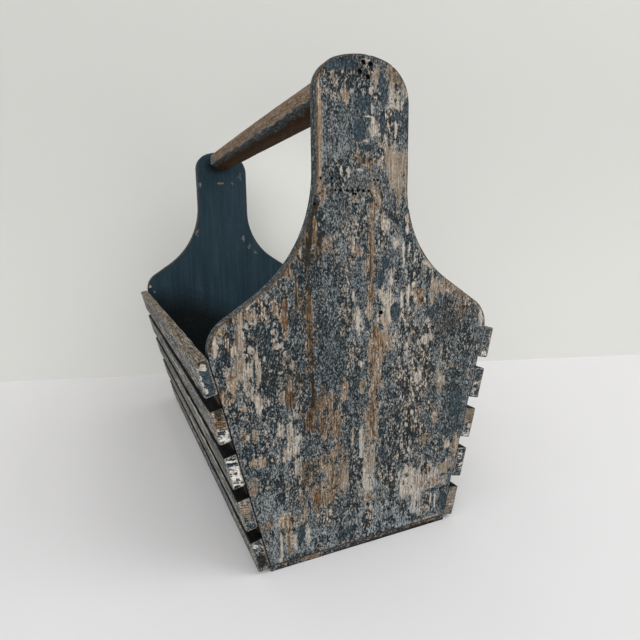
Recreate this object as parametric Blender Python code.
"""A slatted wooden tool caddy.

Two shaped end boards carry five slats on each leaning side, a thin bottom board under them and a
chamfered handle rail between their heads. Everything is nailed, and nothing moves.

Units are metres. +X is the length, with the near end board at +X. +Y is across, and +Z is up. The
origin is on the ground under the middle of the caddy. Left is the -Y side, as seen from the near end.
"""

import math
from collections import namedtuple

import bmesh
import bpy
from mathutils import Vector

# Whole caddy
LENGTH = 0.420
SEAT_GAP = 0.0003
EDGE_WEAR = 0.0008
EDGE_STEPS = 2
ARC_STEP = math.radians(9.0)
SHARP_ANGLE = math.radians(30.0)

# End boards. They were sawn by hand, so the two sides of the neck differ a little
BOARD_THICKNESS = 0.0098
BASE_WIDTH = 0.150
SIDE_LEAN = math.radians(12.9)
SHOULDER_RISE = 0.0128
SHOULDER_SLOPE = math.radians(33.3)
SHOULDER_RADIUS = 0.0238
NECK_RISE = 0.1240
NECK_HALF_LEFT = 0.0352
NECK_HALF_RIGHT = 0.0346
FOOT_RADIUS_LEFT = 0.098
FOOT_RADIUS_RIGHT = 0.078
HEAD_RADIUS_LEFT = 0.0215
HEAD_RADIUS_RIGHT = 0.0265
CROWN_RADIUS_LEFT = 0.062
CROWN_RADIUS_RIGHT = 0.052

# Side slats
SLATS_PER_SIDE = 5
SLAT_HEIGHT = 0.025
SLAT_THICKNESS = 0.0088
SLAT_GAP = 0.0087

# Bottom board
BOTTOM_THICKNESS = 0.004

# Handle rail, with its drop from the crown of the head to its own middle
HANDLE_WIDTH = 0.0316
HANDLE_HEIGHT = 0.0242
CHAMFER_ACROSS = 0.0082
CHAMFER_HIGH = 0.0065
HANDLE_ARRIS_WEAR = 0.0020
HANDLE_CAMBER = 0.0014
HANDLE_DROP = 0.0118
HANDLE_STATIONS = 9

# Nails: the grip is the length that goes into the second piece, and the sink how far the head lies
# below the face it was driven into
NAIL_SIDES = 8
NAIL_TIP_LENGTH = 0.0025
NAIL_TIP_RADIUS = 0.0003
HOLE_MOUTH = 0.001
BRAD_RADIUS = 0.0008
BRAD_HEAD_RADIUS = 0.0014
BRAD_HEAD_THICKNESS = 0.0007
BRAD_SINK = 0.0004
SLAT_BRAD_GRIP = 0.016
BOTTOM_BRAD_INSET = 0.022
BOTTOM_BRAD_GRIP = 0.018
HANDLE_NAIL_RADIUS = 0.0008
HANDLE_NAIL_HEAD_RADIUS = 0.0011
HANDLE_NAIL_HEAD_THICKNESS = 0.0010
HANDLE_NAIL_SINK = 0.0022
HANDLE_NAIL_GRIP = 0.026
# Places of the four nails of one head, across and up from the middle of the handle
HANDLE_NAIL_PLACES = ((-0.0013, 0.0066), (0.0040, 0.0062), (0.0022, -0.0018), (-0.0038, 0.0008))

# Base colour, roughness and metallic value of each material
FINISHES = {
    "chipped_blue_paint": ((0.105, 0.125, 0.145), 0.72, 0.0),
    "weathered_slat_paint": ((0.175, 0.165, 0.150), 0.78, 0.0),
    "bare_bottom_wood": ((0.190, 0.135, 0.095), 0.80, 0.0),
    "worn_handle_wood": ((0.200, 0.145, 0.120), 0.62, 0.0),
    "dark_nail_iron": ((0.045, 0.040, 0.038), 0.55, 0.9),
}

# Places that follow from the sizes above. Heights on an end board count from its bottom edge
BOARD_BOTTOM = BOTTOM_THICKNESS + SEAT_GAP
INNER_X = LENGTH / 2 - BOARD_THICKNESS
SLAT_PITCH = SLAT_HEIGHT + SLAT_GAP
SLAT_RUN = SLATS_PER_SIDE * SLAT_PITCH - SLAT_GAP
SHOULDER_RUN = SLAT_RUN + SHOULDER_RISE
SHOULDER_Y = BASE_WIDTH / 2 + SHOULDER_RUN * math.sin(SIDE_LEAN)
SHOULDER_Z = SHOULDER_RUN * math.cos(SIDE_LEAN)
NECK_FOOT_Z = SHOULDER_Z + (SHOULDER_Y - NECK_HALF_RIGHT) * math.tan(SHOULDER_SLOPE)
BOARD_HEIGHT = NECK_FOOT_Z + NECK_RISE
HANDLE_Z = BOARD_BOTTOM + BOARD_HEIGHT - HANDLE_DROP

Flank = namedtuple("Flank", "neck foot_radius head_radius crown_radius")
LEFT_FLANK = Flank(NECK_HALF_LEFT, FOOT_RADIUS_LEFT, HEAD_RADIUS_LEFT, CROWN_RADIUS_LEFT)
RIGHT_FLANK = Flank(NECK_HALF_RIGHT, FOOT_RADIUS_RIGHT, HEAD_RADIUS_RIGHT, CROWN_RADIUS_RIGHT)

Nail = namedtuple("Nail", "radius head_radius head_thickness sink length")
SLAT_BRAD = Nail(
    BRAD_RADIUS,
    BRAD_HEAD_RADIUS,
    BRAD_HEAD_THICKNESS,
    BRAD_SINK,
    SLAT_THICKNESS + SEAT_GAP + SLAT_BRAD_GRIP,
)
BOTTOM_BRAD = Nail(
    BRAD_RADIUS,
    BRAD_HEAD_RADIUS,
    BRAD_HEAD_THICKNESS,
    BRAD_SINK,
    BOTTOM_THICKNESS + SEAT_GAP + BOTTOM_BRAD_GRIP,
)
HANDLE_NAIL = Nail(
    HANDLE_NAIL_RADIUS,
    HANDLE_NAIL_HEAD_RADIUS,
    HANDLE_NAIL_HEAD_THICKNESS,
    HANDLE_NAIL_SINK,
    BOARD_THICKNESS + SEAT_GAP + HANDLE_NAIL_GRIP,
)


def clear_scene():
    for obj in list(bpy.data.objects):
        bpy.data.objects.remove(obj, do_unlink=True)


def make_material(name):
    colour, roughness, metallic = FINISHES[name]
    material = bpy.data.materials.new(name)
    material.use_nodes = True
    shader = material.node_tree.nodes["Principled BSDF"]
    shader.inputs["Base Color"].default_value = (*colour, 1.0)
    shader.inputs["Roughness"].default_value = roughness
    shader.inputs["Metallic"].default_value = metallic
    return material


def finished_mesh(bm, name, material):
    bmesh.ops.recalc_face_normals(bm, faces=bm.faces)
    mesh = bpy.data.meshes.new(name)
    bm.to_mesh(mesh)
    bm.free()
    mesh.materials.append(material)
    mesh.shade_smooth()
    mesh.set_sharp_from_angle(angle=SHARP_ANGLE)
    return mesh


def place(name, mesh, parent, location, rotation=(0.0, 0.0, 0.0)):
    obj = bpy.data.objects.new(name, mesh)
    bpy.context.scene.collection.objects.link(obj)
    obj.parent = parent
    obj.location = location
    obj.rotation_euler = rotation
    return obj


def round_edges(obj, width=EDGE_WEAR):
    bevel = obj.modifiers.new("worn_edges", "BEVEL")
    bevel.width = width
    bevel.segments = EDGE_STEPS
    bevel.limit_method = "ANGLE"
    bevel.angle_limit = SHARP_ANGLE


def bore(obj, cutters):
    for cutter in cutters:
        cut = obj.modifiers.new(cutter.name, "BOOLEAN")
        cut.operation = "DIFFERENCE"
        cut.solver = "EXACT"
        cut.object = cutter


def skin(bm, rings):
    """Joins rings of points into one closed body, with a flat face over each end."""
    for ring, following in zip(rings, rings[1:]):
        for i, vert in enumerate(ring):
            j = (i + 1) % len(ring)
            bm.faces.new((vert, ring[j], following[j], following[i]))
    bm.faces.new(rings[0])
    bm.faces.new(rings[-1])


def block_mesh(name, low, high, material):
    """A block between two opposite corners."""
    bm = bmesh.new()
    bmesh.ops.create_cube(bm, size=1.0)
    bmesh.ops.scale(bm, verts=bm.verts, vec=[b - a for a, b in zip(low, high)])
    bmesh.ops.translate(bm, verts=bm.verts, vec=[(a + b) / 2 for a, b in zip(low, high)])
    return finished_mesh(bm, name, material)


def arc(centre, radius, start, end):
    """Points of an arc from one angle to another, both ends included."""
    steps = max(2, math.ceil(abs(end - start) / ARC_STEP))
    angles = [start + (end - start) * i / steps for i in range(steps + 1)]
    return [(centre[0] + radius * math.cos(a), centre[1] + radius * math.sin(a)) for a in angles]


def shoulder_arc():
    """The rounded corner between the leaning edge and the slope up to the neck."""
    turn = math.pi / 2 - SHOULDER_SLOPE + SIDE_LEAN
    back = SHOULDER_RADIUS * math.tan(turn / 2)
    along = Vector((math.sin(SIDE_LEAN), math.cos(SIDE_LEAN)))
    outward = Vector((math.cos(SIDE_LEAN), -math.sin(SIDE_LEAN)))
    centre = Vector((SHOULDER_Y, SHOULDER_Z)) - along * back - outward * SHOULDER_RADIUS
    return arc(centre, SHOULDER_RADIUS, -SIDE_LEAN, turn - SIDE_LEAN)


def foot_arc(flank):
    """The hollow sweep from the slope into the upright side of the neck."""
    turn = math.pi / 2 - SHOULDER_SLOPE
    back = flank.foot_radius * math.tan(turn / 2)
    corner_z = SHOULDER_Z + (SHOULDER_Y - flank.neck) * math.tan(SHOULDER_SLOPE)
    centre = (flank.neck + flank.foot_radius, corner_z + back)
    return arc(centre, flank.foot_radius, math.pi + turn, math.pi)


def head_arcs(flank):
    """The corner of the head and the flatter crown that it runs into."""
    inset = flank.crown_radius - flank.head_radius
    corner_y = flank.neck - flank.head_radius
    crown_z = BOARD_HEIGHT - flank.crown_radius
    meet = math.acos(corner_y / inset)
    corner = arc((corner_y, crown_z + inset * math.sin(meet)), flank.head_radius, 0.0, meet)
    crown = arc((0.0, crown_z), flank.crown_radius, meet, math.pi / 2)
    return corner + crown[1:]


def half_outline(flank):
    """One side of the outline, from its lower corner up to the middle of the crown."""
    return [(BASE_WIDTH / 2, 0.0)] + shoulder_arc() + foot_arc(flank) + head_arcs(flank)


def board_outline():
    """The end board's outline as (y, z) points, anticlockwise from its lower right corner."""
    left = [(-y, z) for y, z in half_outline(LEFT_FLANK)]
    return half_outline(RIGHT_FLANK) + left[-2::-1]


def end_board_mesh(material):
    """An end board that stands on the Y axis, with its thickness towards +X."""
    bm = bmesh.new()
    face = bm.faces.new([bm.verts.new((0.0, y, z)) for y, z in board_outline()])
    moved = bmesh.ops.extrude_face_region(bm, geom=[face])["geom"]
    outer = [item for item in moved if isinstance(item, bmesh.types.BMVert)]
    bmesh.ops.translate(bm, verts=outer, vec=(BOARD_THICKNESS, 0.0, 0.0))
    return finished_mesh(bm, "end_board", material)


def slat_mesh(material):
    """A slat that starts from the X axis, as thick as +Y and as high as +Z."""
    low = (-LENGTH / 2, 0.0, 0.0)
    high = (LENGTH / 2, SLAT_THICKNESS, SLAT_HEIGHT)
    return block_mesh("side_slat", low, high, material)


def bottom_mesh(material):
    low = (-LENGTH / 2, -BASE_WIDTH / 2, 0.0)
    high = (LENGTH / 2, BASE_WIDTH / 2, BOTTOM_THICKNESS)
    return block_mesh("bottom_board", low, high, material)


def handle_section(rise):
    """The eight (y, z) corners of the rail, with its top raised by the camber there."""
    side = HANDLE_WIDTH / 2
    flat = side - CHAMFER_ACROSS
    low = -HANDLE_HEIGHT / 2
    high = HANDLE_HEIGHT / 2 + rise
    right = [(flat, low), (side, low + CHAMFER_HIGH), (side, high - CHAMFER_HIGH), (flat, high)]
    return right + [(-y, z) for y, z in reversed(right)]


def handle_mesh(material):
    """A rail along X whose top is highest at its middle."""
    bm = bmesh.new()
    reach = INNER_X - SEAT_GAP
    rings = []
    for i in range(HANDLE_STATIONS):
        along = 2 * i / (HANDLE_STATIONS - 1) - 1
        section = handle_section(HANDLE_CAMBER * (1 - along * along))
        rings.append([bm.verts.new((reach * along, y, z)) for y, z in section])
    skin(bm, rings)
    return finished_mesh(bm, "handle_rail", material)


def turned(bm, profile, start, direction):
    """Adds a turned body: rings of a (radius, depth) profile, down from start along direction."""
    aim = direction.to_track_quat("Z", "Y")
    turns = [2 * math.pi * (i + 0.5) / NAIL_SIDES for i in range(NAIL_SIDES)]
    rings = []
    for radius, depth in profile:
        points = [Vector((radius * math.cos(t), radius * math.sin(t), depth)) for t in turns]
        rings.append([bm.verts.new(start + aim @ point) for point in points])
    skin(bm, rings)


def nail_profile(nail):
    under_head = nail.sink + nail.head_thickness
    return [
        (nail.head_radius, nail.sink),
        (nail.head_radius, under_head),
        (nail.radius, under_head),
        (nail.radius, nail.length - NAIL_TIP_LENGTH),
        (NAIL_TIP_RADIUS, nail.length),
    ]


def hole_profile(nail):
    """The nail's own shape grown by the seat gap, with a mouth that stands clear of the wood."""
    under_head = nail.sink + nail.head_thickness + SEAT_GAP
    return [
        (nail.head_radius + SEAT_GAP, -HOLE_MOUTH),
        (nail.head_radius + SEAT_GAP, under_head),
        (nail.radius + SEAT_GAP, under_head),
        (nail.radius + SEAT_GAP, nail.length + SEAT_GAP),
    ]


def turned_mesh(name, profile, starts, direction, material):
    """A turned body at each start, all along one direction."""
    bm = bmesh.new()
    for start in starts:
        turned(bm, profile, Vector(start), Vector(direction))
    return finished_mesh(bm, name, material)


def slat_brad_starts():
    """One brad in the middle of each slat's height, from the outer faces of one side's slats."""
    return [(0.0, SLAT_THICKNESS, i * SLAT_PITCH + SLAT_HEIGHT / 2) for i in range(SLATS_PER_SIDE)]


def bottom_brad_starts():
    side = BASE_WIDTH / 2 - BOTTOM_BRAD_INSET
    return [(0.0, y, 0.0) for y in (-side, 0.0, side)]


def handle_nail_starts():
    return [(0.0, y, z) for y, z in HANDLE_NAIL_PLACES]


def add_nails(name, nail, starts, direction, stands, root, material):
    """The nails of each stand, with one hidden cutter for their holes. Returns the cutters."""
    body = turned_mesh(name, nail_profile(nail), [(0.0, 0.0, 0.0)], direction, material)
    holes = turned_mesh(name + "_holes", hole_profile(nail), starts, direction, material)
    cutters = {}
    for end, (location, rotation) in stands.items():
        stand = place(f"{name}_{end}_stand", None, root, location, rotation)
        for i, start in enumerate(starts):
            place(f"{name}_{end}_{i + 1}", body, stand, start)
        cutter = place(f"{name}_{end}_holes", holes, stand, (0.0, 0.0, 0.0))
        cutter.hide_render = True
        cutter.display_type = "WIRE"
        cutters[end] = cutter
    return cutters


def slat_side_stand(side, x=0.0):
    """Location and rotation of a side's slats: Y points out of the slats and Z up the lean."""
    y = BASE_WIDTH / 2 + SEAT_GAP * math.cos(SIDE_LEAN)
    z = BOARD_BOTTOM - SEAT_GAP * math.sin(SIDE_LEAN)
    if side == "right":
        return (x, y, z), (-SIDE_LEAN, 0.0, 0.0)
    return (x, -y, z), (-SIDE_LEAN, 0.0, math.pi)


def end_stands(x, z):
    """The same place at both ends, turned half round for the far one."""
    return {"near": ((x, 0.0, z), (0.0, 0.0, 0.0)), "far": ((-x, 0.0, z), (0.0, 0.0, math.pi))}


def add_all_nails(root, iron):
    """Every nail of the caddy. Returns the cutters of the slat, bottom and handle nails."""
    nail_x = INNER_X + BOARD_THICKNESS / 2
    slat_stands = {
        f"{side}_{end}": slat_side_stand(side, x)
        for side in ("left", "right")
        for end, x in (("near", nail_x), ("far", -nail_x))
    }
    bottom_stands = end_stands(nail_x, 0.0)
    handle_stands = end_stands(LENGTH / 2, HANDLE_Z)
    down, up, inward = (0, -1, 0), (0, 0, 1), (-1, 0, 0)
    return (
        add_nails("slat_brad", SLAT_BRAD, slat_brad_starts(), down, slat_stands, root, iron),
        add_nails("bottom_brad", BOTTOM_BRAD, bottom_brad_starts(), up, bottom_stands, root, iron),
        add_nails("handle_nail", HANDLE_NAIL, handle_nail_starts(), inward, handle_stands, root, iron),
    )


def add_end_boards(root, slat_cutters, bottom_cutters, handle_cutters):
    mesh = end_board_mesh(make_material("chipped_blue_paint"))
    for end, x in (("near", INNER_X), ("far", -LENGTH / 2)):
        board = place(f"end_board_{end}", mesh, root, (x, 0.0, BOARD_BOTTOM))
        round_edges(board)
        sides = [slat_cutters[f"{side}_{end}"] for side in ("left", "right")]
        bore(board, sides + [bottom_cutters[end], handle_cutters[end]])


def add_slats(root, slat_cutters):
    mesh = slat_mesh(make_material("weathered_slat_paint"))
    for side in ("left", "right"):
        location, rotation = slat_side_stand(side)
        stand = place(f"{side}_side", None, root, location, rotation)
        for i in range(SLATS_PER_SIDE):
            slat = place(f"side_slat_{side}_{i + 1}", mesh, stand, (0.0, 0.0, i * SLAT_PITCH))
            round_edges(slat)
            bore(slat, [slat_cutters[f"{side}_{end}"] for end in ("near", "far")])


def add_bottom(root, cutters):
    board = place("bottom_board", bottom_mesh(make_material("bare_bottom_wood")), root, (0, 0, 0))
    round_edges(board)
    bore(board, cutters.values())


def add_handle(root, cutters):
    rail = place("handle_rail", handle_mesh(make_material("worn_handle_wood")), root, (0, 0, HANDLE_Z))
    round_edges(rail, HANDLE_ARRIS_WEAR)
    bore(rail, cutters.values())


def build_caddy():
    clear_scene()
    root = place("tool_caddy", None, None, (0.0, 0.0, 0.0))
    slat_cutters, bottom_cutters, handle_cutters = add_all_nails(root, make_material("dark_nail_iron"))
    add_end_boards(root, slat_cutters, bottom_cutters, handle_cutters)
    add_slats(root, slat_cutters)
    add_bottom(root, bottom_cutters)
    add_handle(root, handle_cutters)


build_caddy()
